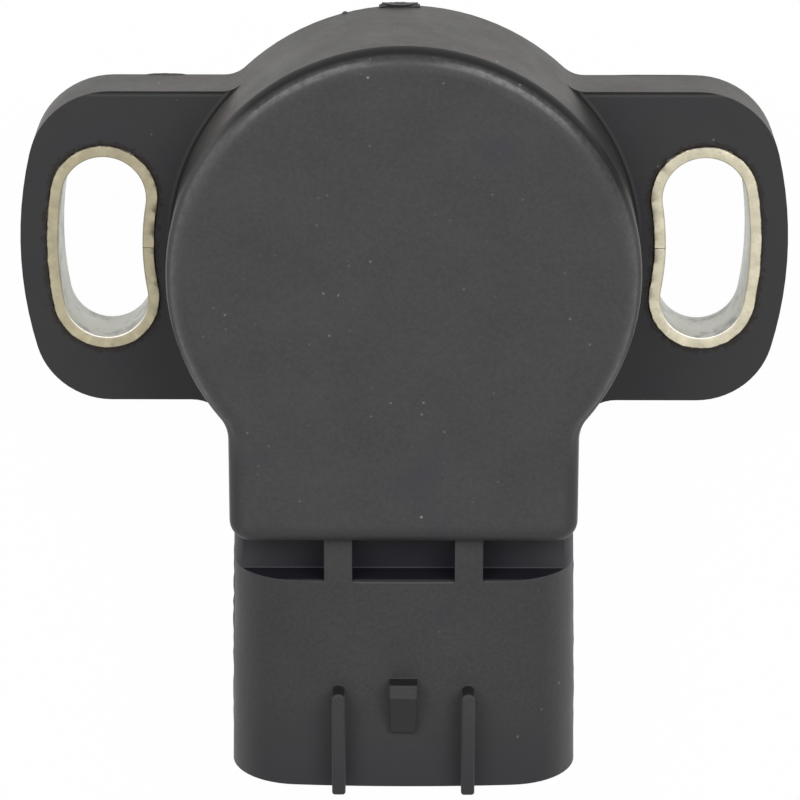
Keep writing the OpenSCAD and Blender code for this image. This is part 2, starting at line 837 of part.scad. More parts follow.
// Rotor: front journal, shoulder, flange with its stop lug, and the rear hub round the insert
module rotor() {
    color([0.16, 0.16, 0.17]) difference() {
        union() {
            translate([0, 0, shoulder_z - eps]) cylinder(r = journal_r, h = journal_len);
            translate([0, 0, flange_top - eps]) cylinder(r = washer_r, h = shoulder_h + eps);
            translate([0, 0, flange_z]) cylinder(r = flange_r, h = flange_t);
            translate([0, 0, flange_z]) linear_extrude(flange_t)
                arc_band((lug_r + flange_r) / 2 - 0.25, lug_r - flange_r + 0.5,
                    wiper_rest - lug_angle / 2, wiper_rest + lug_angle / 2);
            translate([0, 0, -hub_back]) cylinder(r = hub_r, h = flange_z + hub_back + eps);
            rotate([0, 0, wiper_rest]) for (x = wiper_stakes) {
                translate([x, wiper_stake_y, flange_top - eps])
                    cylinder(r = wiper_stake_r, h = wiper_t + 2 * eps);
                translate([x, wiper_stake_y, flange_top + wiper_t])
                    cylinder(r = wiper_head_r, h = wiper_head_h);
            }
        }
        translate([0, 0, -hub_back - eps]) cylinder(r = insert_r, h = insert_top + hub_back + eps);
        rotate([0, 0, spring_end]) translate([coil_r, 0, flange_z - eps])
            cylinder(d = foot_hole_d, h = foot_in - foot_gap);
    }
}

// Metal insert with the flat-sided socket that the throttle's shaft drives
module drive_insert() {
    color([0.75, 0.66, 0.42]) translate([0, 0, -hub_back]) linear_extrude(insert_top + hub_back)
        difference() {
            circle(r = insert_r);
            intersection() {
                circle(r = socket_r);
                square([3 * socket_r, socket_flats], center = true);
            }
        }
}

// Sprung wiper: a plate staked to the rotor and two sets of fingers that rise to the films. Each
// finger rises at a slope and ends in a bent contact.
module wiper() {
    rise = wiper_tip_z - flange_top;
    t = wiper_t;
    crest = finger_len - 2.8 * t;
    color([0.8, 0.7, 0.4]) rotate([0, 0, wiper_rest]) {
        translate([0, 0, flange_top]) linear_extrude(wiper_t) difference() {
            translate([plate_x, -plate_y]) square([flange_r - 0.3 - plate_x, plate_h]);
            for (x = wiper_stakes) {
                translate([x, wiper_stake_y]) circle(r = wiper_stake_r + stake_gap);
            }
        }
        for (r = [collector_r, resistor_r], i = [-1 : 1]) {
            translate([r + i * finger_pitch - finger_w / 2, 0, flange_top]) rotate([90, 0, 90])
                linear_extrude(finger_w) polygon([[0, 0], [5 * t, 0],
                    [crest - 1.5 * t, rise - 2 * t], [crest + 0.3 * t, rise - t],
                    [finger_len - t / 2, rise - 2.2 * t], [finger_len, rise - 1.7 * t],
                    [crest + t / 2, rise], [crest - t / 2, rise],
                    [crest - 2.5 * t, rise - 1.4 * t], [4.5 * t, t], [0, t]]);
        }
    }
}

housing();
left_bushing();
right_bushing();
rear_cover();
cover_sealant();
mount_seal();
shaft_seal();
supply_terminal();
signal_terminal();
ground_terminal();
sensor_board();
resistor_track();
collector_track();
supply_lead();
ground_lead();
supply_solder();
signal_solder();
ground_solder();
thrust_washer();
return_spring();
rotor();
drive_insert();
wiper();
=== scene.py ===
import math
import random

import bmesh
import bpy
from mathutils import Matrix, Vector


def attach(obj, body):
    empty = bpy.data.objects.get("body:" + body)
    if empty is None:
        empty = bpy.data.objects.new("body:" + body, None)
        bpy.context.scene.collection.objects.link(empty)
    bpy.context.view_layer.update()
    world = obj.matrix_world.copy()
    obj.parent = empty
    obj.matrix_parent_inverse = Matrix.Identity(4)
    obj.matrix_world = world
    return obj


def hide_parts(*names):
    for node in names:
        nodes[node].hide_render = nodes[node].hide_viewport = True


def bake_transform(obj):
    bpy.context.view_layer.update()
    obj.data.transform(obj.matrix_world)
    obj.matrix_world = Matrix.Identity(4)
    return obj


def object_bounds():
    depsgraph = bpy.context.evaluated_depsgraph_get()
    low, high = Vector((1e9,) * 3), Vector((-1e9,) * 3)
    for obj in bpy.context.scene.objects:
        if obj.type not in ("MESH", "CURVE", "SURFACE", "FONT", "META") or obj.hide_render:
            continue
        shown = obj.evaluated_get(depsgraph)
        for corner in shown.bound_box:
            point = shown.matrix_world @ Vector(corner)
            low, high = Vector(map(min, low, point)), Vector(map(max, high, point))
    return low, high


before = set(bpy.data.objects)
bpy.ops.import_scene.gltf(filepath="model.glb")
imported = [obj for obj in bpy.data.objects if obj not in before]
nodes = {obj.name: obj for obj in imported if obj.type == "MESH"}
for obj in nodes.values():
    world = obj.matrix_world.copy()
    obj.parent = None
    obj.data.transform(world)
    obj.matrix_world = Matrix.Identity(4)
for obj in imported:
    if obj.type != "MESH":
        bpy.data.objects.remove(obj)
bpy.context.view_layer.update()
mm = 0.001
print("frame loaded,", len(nodes), "CAD nodes")


# small helpers for node trees

def newMaterial(name):
    mat = bpy.data.materials.new(name)
    mat.use_nodes = True
    tree = mat.node_tree
    shader = tree.nodes["Principled BSDF"]
    place = tree.nodes.new("ShaderNodeTexCoord")
    return mat, tree, shader, place.outputs["Object"]


def addNode(tree, kind, inputs=None, **settings):
    made = tree.nodes.new(kind)
    for key, value in settings.items():
        setattr(made, key, value)
    for key, value in (inputs or {}).items():
        if isinstance(value, bpy.types.NodeSocket):
            tree.links.new(value, made.inputs[key])
        else:
            made.inputs[key].default_value = value
    return made


def noiseAt(tree, place, perMetre, detail=3.0, rough=0.5):
    tex = addNode(tree, "ShaderNodeTexNoise", {"Vector": place, "Scale": perMetre, "Detail": detail,
                                               "Roughness": rough})
    return tex.outputs["Fac"]


def spread(tree, value, low, high, outLow=0.0, outHigh=1.0):
    ramp = addNode(tree, "ShaderNodeMapRange", {"Value": value, "From Min": low, "From Max": high,
                                                "To Min": outLow, "To Max": outHigh})
    ramp.clamp = True
    return ramp.outputs["Result"]


def mixColours(tree, fac, first, second, blendType="MIX"):
    mix = addNode(tree, "ShaderNodeMix", data_type="RGBA", blend_type=blendType)
    for index, value in ((0, fac), (6, first), (7, second)):
        if isinstance(value, bpy.types.NodeSocket):
            tree.links.new(value, mix.inputs[index])
        elif index == 0:
            mix.inputs[index].default_value = value
        else:
            mix.inputs[index].default_value = (*value, 1.0)
    return mix.outputs[2]


def maths(tree, operation, first, second=0.0):
    made = tree.nodes.new("ShaderNodeMath")
    made.operation = operation
    for index, value in ((0, first), (1, second)):
        if isinstance(value, bpy.types.NodeSocket):
            tree.links.new(value, made.inputs[index])
        else:
            made.inputs[index].default_value = value
    return made.outputs[0]


def both(tree, *masks):
    made = masks[0]
    for mask in masks[1:]:
        made = maths(tree, "MULTIPLY", made, mask)
    return made


def between(tree, value, places):
    # a mask that is 0 at the first place and 1 at the second, both in millimetres
    return spread(tree, value, places[0] * mm, places[1] * mm)


def partsOf(tree, vector):
    return addNode(tree, "ShaderNodeSeparateXYZ", {"Vector": vector}).outputs


def facingParts(tree):
    # which way a face looks, along the axes of its own piece
    coordinates = next(node for node in tree.nodes if node.type == "TEX_COORD")
    return partsOf(tree, coordinates.outputs["Normal"])


# every finish is made of a mottled colour, a mottled roughness and a fine bump

plainFinish = {"grainShare": 0.35, "toneFrom": (0.35, 0.65), "roughnessFrom": (0.3, 0.7),
               "metallic": 0.0, "specular": 0.5}


def surfaceFinish(name, settings):
    look = {**plainFinish, **settings}
    mat, tree, shader, place = newMaterial(name)
    cloud = noiseAt(tree, place, look["cloudsPerMetre"])
    grain = noiseAt(tree, place, look["grainsPerMetre"], detail=2.0, rough=0.6)
    share = look["grainShare"]
    tone = maths(tree, "ADD", maths(tree, "MULTIPLY", cloud, 1.0 - share),
                 maths(tree, "MULTIPLY", grain, share))
    tone = spread(tree, tone, *look["toneFrom"])
    colour = mixColours(tree, tone, look["darkTone"], look["lightTone"])
    roughness = spread(tree, cloud, *look["roughnessFrom"], *look["roughness"])
    tree.links.new(colour, shader.inputs["Base Color"])
    tree.links.new(roughness, shader.inputs["Roughness"])
    shader.inputs["Metallic"].default_value = look["metallic"]
    shader.inputs["Specular IOR Level"].default_value = look["specular"]
    edge = addNode(tree, "ShaderNodeBevel", {"Radius": look["edgeRadius"] * mm}, samples=4)
    bump = addNode(tree, "ShaderNodeBump", {"Strength": look["bumpStrength"],
                                            "Distance": look["bumpDepth"] * mm, "Height": grain,
                                            "Normal": edge.outputs["Normal"]})
    tree.links.new(bump.outputs["Normal"], shader.inputs["Normal"])
    return mat, tree, shader, place, colour


dustAreas = (0.45, 0.6)


def dustSpecks(tree, place, colour, dust):
    # single bright specks, in a few of the cells of a fine pattern, and only in some areas
    cells = addNode(tree, "ShaderNodeTexVoronoi", {"Vector": place, "Scale": dust["cellsPerMetre"],
                                                   "Randomness": 1.0})
    dot = spread(tree, cells.outputs["Distance"], dust["size"], dust["size"] * 0.5)
    drawn = partsOf(tree, cells.outputs["Color"])  # each cell has its own colour
    some = maths(tree, "GREATER_THAN", drawn[0], 1.0 - dust["share"])
    areas = noiseAt(tree, place, dust["areasPerMetre"], detail=1.0)
    mask = both(tree, dot, some, spread(tree, areas, *dustAreas), drawn[1])
    return mixColours(tree, mask, colour, dust["colour"])


# finishes of the outside

slotPath = {"pitchRadius": 19.9, "turn": 9.85, "clearWidth": 5.5, "wall": 0.8}
slotEdge = slotPath["clearWidth"] / 2 + slotPath["wall"]  # from the slot's middle line

mouldedPlastic = {
    "darkTone": (0.049, 0.049, 0.049), "lightTone": (0.064, 0.064, 0.0638), "grainShare": 0.65,
    "cloudsPerMetre": 260.0, "grainsPerMetre": 4200.0, "roughness": (0.44, 0.54),
    "specular": 0.22, "bumpStrength": 0.22, "bumpDepth": 0.02, "edgeRadius": 0.1,
}
# the mould's parts left their own skins: the walls are matt and warm, the front rim is nearly
# polished where it turns to the face, and the ears are smooth. Over these lie painted light and
# shade: a painted dark reflection on the top of the rim, painted shade on the lower walls, the
# ears, the windows, the shell and the latch, and painted highlights along edges of the rim, the
# ears, the windows and the shell.
# A pair of places is in millimetres, and makes a mask that is 0 at the first and 1 at the second
frontFacing = (0.6, 0.85)
blueTint = {"areasPerMetre": 140.0, "areas": (0.64, 0.76), "tone": (0.05, 0.05, 0.061)}
# the walls' own tints and streaks, and painted shade on the walls further down
wallSkinAndShade = {
    "tone": (0.074, 0.0705, 0.064), "pink": (0.08, 0.07, 0.0665), "green": (0.066, 0.0705, 0.063),
    "shade": (0.03, 0.029, 0.028), "patchesPerMetre": 330.0, "pinkPatches": (0.52, 0.66),
    "greenPatches": (0.46, 0.34), "streaksPerMetre": 1500.0, "streaks": (0.4, 0.7),
    "streakStrength": 0.4, "steepness": (0.25, 0.05), "belowRim": (10.65, 10.55),
    "aboveNeck": (-12.0, -10.0), "lean": -0.15, "upper": (7.8, 11.0), "onEars": (4.35, 4.3),
}
rimSkinAndPaintedLight = {
    "tone": (0.005, 0.005, 0.0052), "overWall": (10.6, 10.7), "underFront": (11.98, 11.68),
    "aboveFoot": (-17.5, -16.5), "lean": 0.223, "upper": (6.4, 9.5),
    "neckTone": (0.041, 0.04, 0.0395), "alongNeck": (-8.0, -12.0),
    "edgeHighlight": (0.16, 0.16, 0.162), "edgeStrength": 0.8, "edgeSteepness": (0.42, 0.3),
    "edgeBelow": (6.0, 2.0), "polished": (11.42, 11.6), "polishedAbove": (-13.0, -7.0),
    "coatRoughness": 0.2, "wornPerMetre": 2600.0, "worn": (0.35, 0.6), "wornCoat": 0.45,
}
earSkinAndPaintedLight = {
    "tone": (0.033, 0.0333, 0.0342), "violet": (0.032, 0.0318, 0.0355), "strength": 0.9,
    "cloudsPerMetre": 240.0, "clouds": (0.45, 0.6), "below": (4.6, 4.4), "upperHalf": (0.0, 3.0),
    "upperEdge": 10.575, "bodyRadius": 15.25, "nearEdge": (0.4, 0.3),
    "darkLine": (0.2, 0.12), "edgeShade": (0.012, 0.012, 0.012),
    "lightLine": (0.16, 0.24), "edgeHighlight": (0.062, 0.062, 0.062), "lightStrength": 0.7,
}
brownFilm = {"tone": (0.019, 0.014, 0.011), "ragged": (0.35, 0.65), "reach": 0.42,
             "fade": (0.12, -0.05), "strength": 0.8}
windowShadeAndHighlight = {
    "tone": (0.0095, 0.009, 0.0135), "floorTone": (0.033, 0.0315, 0.0415),
    "endTone": (0.062, 0.061, 0.067), "ends": (5.6, 10.4), "belowNeck": (-18.0, -18.1),
    "aboveShell": (-21.05, -20.95), "behindFront": (10.6, 10.3),
    "crease": (-20.84, -20.88), "creaseHighlight": (0.085, 0.084, 0.095), "creaseStrength": 0.8,
}
shellShade = {
    "below": (-18.1, -18.4), "dim": (0.86, 0.86, 0.87), "sideDim": (0.78, 0.78, 0.79),
    "sides": (4.5, 9.5), "mouth": (-29.0, -35.5), "mouthShade": (0.034, 0.034, 0.038),
}
windowLipHighlight = {
    "middle": -20.99, "width": (0.07, 0.03), "onFront": (10.7, 10.8), "webs": 4.3,
    "besideWebs": (0.95, 1.1), "tone": (0.13, 0.13, 0.135), "strength": 0.42,
}
latchShade = {
    "below": (-25.5, -26.0), "above": (10.95, 11.03), "slope": (-0.15, -0.28),
    "rampTone": (0.03, 0.03, 0.031), "ends": (0.3, 0.7), "endTone": (0.012, 0.012, 0.0135),
}
# dust lies all over, denser on the polished rim and the guard ribs' ends, and at the neck's foot
mouldedDust = {"cellsPerMetre": 640.0, "size": 0.075, "share": 0.5, "areasPerMetre": 60.0,
               "colour": (0.34, 0.34, 0.33)}
rimDust = {"cellsPerMetre": 1500.0, "size": 0.16, "share": 0.3, "areasPerMetre": 160.0,
           "colour": (0.3, 0.3, 0.31)}
footDust = {"cellsPerMetre": 900.0, "size": 0.12, "share": 0.45, "areasPerMetre": 230.0,
            "colour": (0.3, 0.3, 0.31)}
dustPlaces = {"ribTops": (11.9, 12.1), "ribEnds": (-29.2, -28.8), "footFrom": (-15.2, -16.2),
              "footTo": (-18.0, -17.8)}


def lengthOf(tree, x, y):
    return maths(tree, "SQRT", maths(tree, "ADD", both(tree, x, x), both(tree, y, y)))


def slotDistance(tree, x, y):
    # how far a point of an ear is from the middle line of its slot, by three points of that line
    nearest = None
    for share in (0.0, 0.5, 1.0):
        angle = math.radians(share * slotPath["turn"])
        dx = maths(tree, "SUBTRACT", x, slotPath["pitchRadius"] * mm * math.cos(angle))
        dy = maths(tree, "SUBTRACT", y, slotPath["pitchRadius"] * mm * math.sin(angle))
        away = lengthOf(tree, dx, dy)
        nearest = away if nearest is None else maths(tree, "MINIMUM", nearest, away)
    return nearest


def upward(tree, here, lean):
    # how far up a point is, along a line that leans to one side
    return maths(tree, "ADD", here["y"], maths(tree, "MULTIPLY", here["x"], lean))


def addWallSkinAndShade(tree, place, here, colour):
    patches = noiseAt(tree, place, wallSkinAndShade["patchesPerMetre"], detail=4.0, rough=0.6)
    streaks = noiseAt(tree, place, wallSkinAndShade["streaksPerMetre"], rough=0.7)
    pink = spread(tree, patches, *wallSkinAndShade["pinkPatches"])
    green = spread(tree, patches, *wallSkinAndShade["greenPatches"])
    streaked = spread(tree, streaks, *wallSkinAndShade["streaks"], 0.0, wallSkinAndShade["streakStrength"])
    tone = mixColours(tree, pink, wallSkinAndShade["tone"], wallSkinAndShade["pink"])
    tone = mixColours(tree, green, tone, wallSkinAndShade["green"])
    tone = mixColours(tree, streaked, tone, wallSkinAndShade["shade"])
    # the warm tone shows on the ears and the top of the body, and the walls further down are
    # painted dark with the shade colour, as painted shade
    upper = between(tree, upward(tree, here, wallSkinAndShade["lean"]), wallSkinAndShade["upper"])
    lit = maths(tree, "MAXIMUM", upper, between(tree, here["z"], wallSkinAndShade["onEars"]))
    tone = mixColours(tree, lit, wallSkinAndShade["shade"], tone)
    steep = spread(tree, maths(tree, "ABSOLUTE", here["facingZ"]), *wallSkinAndShade["steepness"])
    walls = both(tree, steep, between(tree, here["z"], wallSkinAndShade["belowRim"]),
                 between(tree, here["y"], wallSkinAndShade["aboveNeck"]))
    return mixColours(tree, walls, colour, tone)


def addRimSkinAndPaintedLight(tree, here, worn, colour):
    y, z = here["y"], here["z"]
    rim = both(tree, between(tree, z, rimSkinAndPaintedLight["overWall"]), between(tree, z, rimSkinAndPaintedLight["underFront"]),
               between(tree, y, rimSkinAndPaintedLight["aboveFoot"]))
    # a painted dark reflection where it turns down at the top of the body
    upper = between(tree, upward(tree, here, rimSkinAndPaintedLight["lean"]), rimSkinAndPaintedLight["upper"])
    colour = mixColours(tree, both(tree, rim, upper), colour, rimSkinAndPaintedLight["tone"])
    # along the neck the rim is painted a little darker, as painted shade
    alongNeck = both(tree, rim, between(tree, y, rimSkinAndPaintedLight["alongNeck"]))
    colour = mixColours(tree, alongNeck, colour, rimSkinAndPaintedLight["neckTone"])
    # low on both sides a painted highlight lies on only the very edge of the rim
    edgeLine = both(tree, rim, spread(tree, here["facingZ"], *rimSkinAndPaintedLight["edgeSteepness"]),
                    between(tree, y, rimSkinAndPaintedLight["edgeBelow"]), rimSkinAndPaintedLight["edgeStrength"])
    colour = mixColours(tree, edgeLine, colour, rimSkinAndPaintedLight["edgeHighlight"])
    # polished where it meets the face, and worn in places
    polished = both(tree, rim, between(tree, z, rimSkinAndPaintedLight["polished"]),
                    between(tree, y, rimSkinAndPaintedLight["polishedAbove"]))
    coat = both(tree, polished, spread(tree, worn, *rimSkinAndPaintedLight["worn"], rimSkinAndPaintedLight["wornCoat"], 1.0))
    return colour, polished, coat


def addEarSkinAndPaintedLight(tree, place, here, worn, colour):
    y = here["y"]
    # the ears are darker, partly their own smoother finish and partly painted shade from the body
    # beside them
    ears = both(tree, here["front"], between(tree, here["z"], earSkinAndPaintedLight["below"]))
    clouds = noiseAt(tree, place, earSkinAndPaintedLight["cloudsPerMetre"], detail=2.0)
    tone = mixColours(tree, spread(tree, clouds, *earSkinAndPaintedLight["clouds"]), earSkinAndPaintedLight["tone"],
                      earSkinAndPaintedLight["violet"])
    colour = mixColours(tree, both(tree, ears, earSkinAndPaintedLight["strength"]), colour, tone)
    # a thin line of painted shade and one of painted highlight run inside the upper edge and round
    # the body
    fromTop = maths(tree, "SUBTRACT", earSkinAndPaintedLight["upperEdge"] * mm, y)
    fromBody = maths(tree, "SUBTRACT", lengthOf(tree, here["x"], y), earSkinAndPaintedLight["bodyRadius"] * mm)
    upperHalf = between(tree, y, earSkinAndPaintedLight["upperHalf"])
    for distance in (fromTop, fromBody):
        near = both(tree, ears, upperHalf, between(tree, distance, earSkinAndPaintedLight["nearEdge"]))
        light = both(tree, near, between(tree, distance, earSkinAndPaintedLight["lightLine"]),
                     earSkinAndPaintedLight["lightStrength"])
        dark = both(tree, near, between(tree, distance, earSkinAndPaintedLight["darkLine"]))
        colour = mixColours(tree, light, colour, earSkinAndPaintedLight["edgeHighlight"])
        colour = mixColours(tree, dark, colour, earSkinAndPaintedLight["edgeShade"])
    # a ragged brown film lies round the slots
    fromSlot = slotDistance(tree, here["outX"], maths(tree, "ABSOLUTE", y))
    reach = both(tree, spread(tree, worn, *brownFilm["ragged"]), brownFilm["reach"] * mm)
    film = between(tree, maths(tree, "SUBTRACT", fromSlot, reach),
                   [slotEdge + part for part in brownFilm["fade"]])
    film = both(tree, film, ears, brownFilm["strength"])
    return mixColours(tree, film, colour, brownFilm["tone"])


def addWindowShadeAndHighlight(tree, here, colour):
    # painted shade in the windows' recesses: darkest on the floor, lighter on the faces that look
    # out and towards the windows' ends, with a painted highlight along the crease
    y = here["y"]
    ends = between(tree, here["outX"], windowShadeAndHighlight["ends"])
    floorTone = mixColours(tree, ends, windowShadeAndHighlight["floorTone"], windowShadeAndHighlight["endTone"])
    crease = both(tree, between(tree, y, windowShadeAndHighlight["crease"]), windowShadeAndHighlight["creaseStrength"])
    floorTone = mixColours(tree, crease, floorTone, windowShadeAndHighlight["creaseHighlight"])
    tone = mixColours(tree, here["front"], windowShadeAndHighlight["tone"], floorTone)
    window = both(tree, between(tree, y, windowShadeAndHighlight["belowNeck"]),
                  between(tree, y, windowShadeAndHighlight["aboveShell"]),
                  between(tree, here["z"], windowShadeAndHighlight["behindFront"]))
    return mixColours(tree, window, colour, tone)


def addShellShadeAndHighlight(tree, here, colour):
    y, front = here["y"], here["front"]
    # painted shade: the shell is dimmed, more towards its sides
    onShell = both(tree, front, between(tree, y, shellShade["below"]))
    dim = mixColours(tree, between(tree, here["outX"], shellShade["sides"]), shellShade["dim"],
                     shellShade["sideDim"])
    colour = mixColours(tree, onShell, colour, mixColours(tree, 1.0, colour, dim, "MULTIPLY"))
    # a painted highlight lies on the shell's upper edge below each window, but not on the webs
    fromLip = maths(tree, "ABSOLUTE", maths(tree, "SUBTRACT", y, windowLipHighlight["middle"] * mm))
    fromWeb = maths(tree, "ABSOLUTE",
                    maths(tree, "SUBTRACT", here["outX"], windowLipHighlight["webs"] * mm))
    lip = both(tree, front, between(tree, here["z"], windowLipHighlight["onFront"]),
               between(tree, fromWeb, windowLipHighlight["besideWebs"]),
               between(tree, fromLip, windowLipHighlight["width"]), windowLipHighlight["strength"])
    colour = mixColours(tree, lip, colour, windowLipHighlight["tone"])
    # painted shade, darker towards the mouth
    nearMouth = both(tree, front, between(tree, y, shellShade["mouth"]))
    return mixColours(tree, nearMouth, colour, shellShade["mouthShade"])


def addLatchShade(tree, here, colour):
    # painted shade: the ramp's slope looks down the connector and is painted darker, and its upper
    # end and those of the ribs look up and are painted darker still
    raised = both(tree, between(tree, here["y"], latchShade["below"]),
                  between(tree, here["z"], latchShade["above"]))
    slope = both(tree, raised, spread(tree, here["facingY"], *latchShade["slope"]))
    ends = both(tree, raised, spread(tree, here["facingY"], *latchShade["ends"]))
    colour = mixColours(tree, slope, colour, latchShade["rampTone"])
    return mixColours(tree, ends, colour, latchShade["endTone"])


def addDust(tree, place, here, polished, colour):
    y = here["y"]
    ribEnds = both(tree, between(tree, here["z"], dustPlaces["ribTops"]),
                   between(tree, y, dustPlaces["ribEnds"]))
    neckFoot = both(tree, here["front"], between(tree, y, dustPlaces["footFrom"]),
                    between(tree, y, dustPlaces["footTo"]))
    scuffed = maths(tree, "MAXIMUM", polished, ribEnds)
    colour = dustSpecks(tree, place, colour, mouldedDust)
    colour = mixColours(tree, scuffed, colour, dustSpecks(tree, place, colour, rimDust))
    return mixColours(tree, neckFoot, colour, dustSpecks(tree, place, colour, footDust))


def housingFinish():
    mat, tree, shader, place, colour = surfaceFinish("mouldedPlastic", mouldedPlastic)
    x, y, z = partsOf(tree, place)
    facing = facingParts(tree)
    here = {"x": x, "y": y, "z": z, "outX": maths(tree, "ABSOLUTE", x), "facingY": facing[1],
            "facingZ": facing[2], "front": spread(tree, facing[2], *frontFacing)}
    tinted = noiseAt(tree, place, blueTint["areasPerMetre"], detail=1.0)
    colour = mixColours(tree, spread(tree, tinted, *blueTint["areas"]), colour, blueTint["tone"])
    colour = addWallSkinAndShade(tree, place, here, colour)
    worn = noiseAt(tree, place, rimSkinAndPaintedLight["wornPerMetre"], detail=4.0, rough=0.7)
    colour, polished, coat = addRimSkinAndPaintedLight(tree, here, worn, colour)
    colour = addEarSkinAndPaintedLight(tree, place, here, worn, colour)
    colour = addWindowShadeAndHighlight(tree, here, colour)
    colour = addShellShadeAndHighlight(tree, here, colour)
    colour = addLatchShade(tree, here, colour)
    colour = addDust(tree, place, here, polished, colour)
    tree.links.new(colour, shader.inputs["Base Color"])
    tree.links.new(coat, shader.inputs["Coat Weight"])
    shader.inputs["Coat Roughness"].default_value = rimSkinAndPaintedLight["coatRoughness"]
    return mat


rolledStrip = {
    "darkTone": (0.42, 0.38, 0.30), "lightTone": (0.68, 0.63, 0.53),
    "cloudsPerMetre": 420.0, "grainsPerMetre": 3800.0, "roughness": (0.32, 0.5),
    "metallic": 0.8, "bumpStrength": 0.25, "bumpDepth": 0.02, "edgeRadius": 0.04,
}
# the strip's clear side is smudged, and its cut front is painted darker on the left than on the
# right, as painted shade
stripSkinAndShade = {
    "clear": (0.5, 0.5, 0.45), "smudge": (0.2, 0.2, 0.19), "smudgesPerMetre": 650.0,
    "smudges": (0.52, 0.66), "smudgeStrength": 0.7, "left": (0.48, 0.43, 0.295),
    "right": (0.72, 0.665, 0.5), "worn": 0.6, "grainsPerMetre": 900.0, "grains": (0.35, 0.65),
    "wornStrength": 0.5, "pitsPerMetre": 2600.0, "pits": (0.54, 0.74), "pitStrength": 0.4,
}
# over the strip's wall, depth is 0 on the clear side and 1 on the side that the plastic holds
stripEdge = {
    "front": (0.5, 0.8), "line": (0.15, 0.06), "lineShade": 0.3, "foot": (-3.6, -5.2),
    "footStrength": 0.9, "footHighlight": (0.95, 0.93, 0.86), "film": (0.02, 0.014, 0.01),
    "filmFrom": (0.93, 0.99), "filmWidth": 0.1, "creep": (0.3, 0.7),
}


def stripFinish(side):
    mat, tree, shader, place, colour = surfaceFinish(side + "RolledStrip", rolledStrip)
    front = spread(tree, facingParts(tree)[2], *stripEdge["front"])
    depth = addNode(tree, "ShaderNodeAttribute", attribute_name="wallDepth").outputs["Fac"]
    grain = noiseAt(tree, place, stripSkinAndShade["grainsPerMetre"], detail=4.0, rough=0.6)
    smudges = noiseAt(tree, place, stripSkinAndShade["smudgesPerMetre"], detail=5.0, rough=0.65)
    pits = noiseAt(tree, place, stripSkinAndShade["pitsPerMetre"], detail=5.0, rough=0.7)
    smudged = spread(tree, smudges, *stripSkinAndShade["smudges"], 0.0, stripSkinAndShade["smudgeStrength"])
    clear = mixColours(tree, smudged, stripSkinAndShade["clear"], stripSkinAndShade["smudge"])
    worn = spread(tree, grain, *stripSkinAndShade["grains"], 0.0, stripSkinAndShade["wornStrength"])
    pitted = spread(tree, pits, *stripSkinAndShade["pits"], 0.0, stripSkinAndShade["pitStrength"])
    # painted shade: each side's cut front takes its own tone
    cut = mixColours(tree, worn, stripSkinAndShade[side],
                     [stripSkinAndShade["worn"] * part for part in stripSkinAndShade[side]])
    cut = mixColours(tree, pitted, cut, stripSkinAndShade["smudge"])
    # painted shade lies along the inner edge, and a painted highlight on it round the foot of the
    # slot
    inner = both(tree, spread(tree, depth, *stripEdge["line"]), front)
    foot = both(tree, between(tree, partsOf(tree, place)[1], stripEdge["foot"]),
                stripEdge["footStrength"])
    cut = mixColours(tree, both(tree, inner, stripEdge["lineShade"]), cut, stripEdge["film"])
    cut = mixColours(tree, both(tree, inner, foot), cut, stripEdge["footHighlight"])
    colour = mixColours(tree, front, clear, cut)
    # a brown film of plastic creeps over the strip's outer edge
    creep = spread(tree, grain, *stripEdge["creep"], 0.0, stripEdge["filmWidth"])
    film = spread(tree, maths(tree, "ADD", depth, creep), *stripEdge["filmFrom"])
    colour = mixColours(tree, film, colour, stripEdge["film"])
    tree.links.new(colour, shader.inputs["Base Color"])
    metal = spread(tree, film, 0.0, 1.0, rolledStrip["metallic"], 0.0)
    tree.links.new(metal, shader.inputs["Metallic"])
    return mat


rubberSeal = {
    "darkTone": (0.012, 0.012, 0.013), "lightTone": (0.022, 0.022, 0.023),
    "cloudsPerMetre": 500.0, "grainsPerMetre": 6000.0, "roughness": (0.5, 0.65),
    "bumpStrength": 0.1, "bumpDepth": 0.015, "edgeRadius": 0.06,
}
curedSealant = {
    "darkTone": (0.01, 0.01, 0.011), "lightTone": (0.018, 0.018, 0.019),
    "cloudsPerMetre": 900.0, "grainsPerMetre": 2500.0, "roughness": (0.18, 0.3),
    "bumpStrength": 0.5, "bumpDepth": 0.04, "edgeRadius": 0.1,
}
coverPlastic = {
    "darkTone": (0.018, 0.018, 0.0185), "lightTone": (0.028, 0.028, 0.028),
    "cloudsPerMetre": 300.0, "grainsPerMetre": 5600.0, "roughness": (0.42, 0.52),
    "bumpStrength": 0.18, "bumpDepth": 0.018, "edgeRadius": 0.1,
}
rotorPlastic = {
    "darkTone": (0.016, 0.016, 0.017), "lightTone": (0.024, 0.024, 0.025),
    "cloudsPerMetre": 400.0, "grainsPerMetre": 4200.0, "roughness": (0.3, 0.4),
    "bumpStrength": 0.1, "bumpDepth": 0.01, "edgeRadius": 0.08,
}
machinedBrass = {
    "darkTone": (0.5, 0.36, 0.16), "lightTone": (0.72, 0.55, 0.28),
    "cloudsPerMetre": 500.0, "grainsPerMetre": 5000.0, "roughness": (0.22, 0.36),
    "metallic": 1.0, "bumpStrength": 0.12, "bumpDepth": 0.01, "edgeRadius": 0.1,
}
tinnedBrass = {
    "darkTone": (0.5, 0.48, 0.43), "lightTone": (0.72, 0.7, 0.65),
    "cloudsPerMetre": 700.0, "grainsPerMetre": 7000.0, "roughness": (0.22, 0.38),
    "metallic": 1.0, "bumpStrength": 0.1, "bumpDepth": 0.008, "edgeRadius": 0.06,
}

# finishes of what the closed housing holds

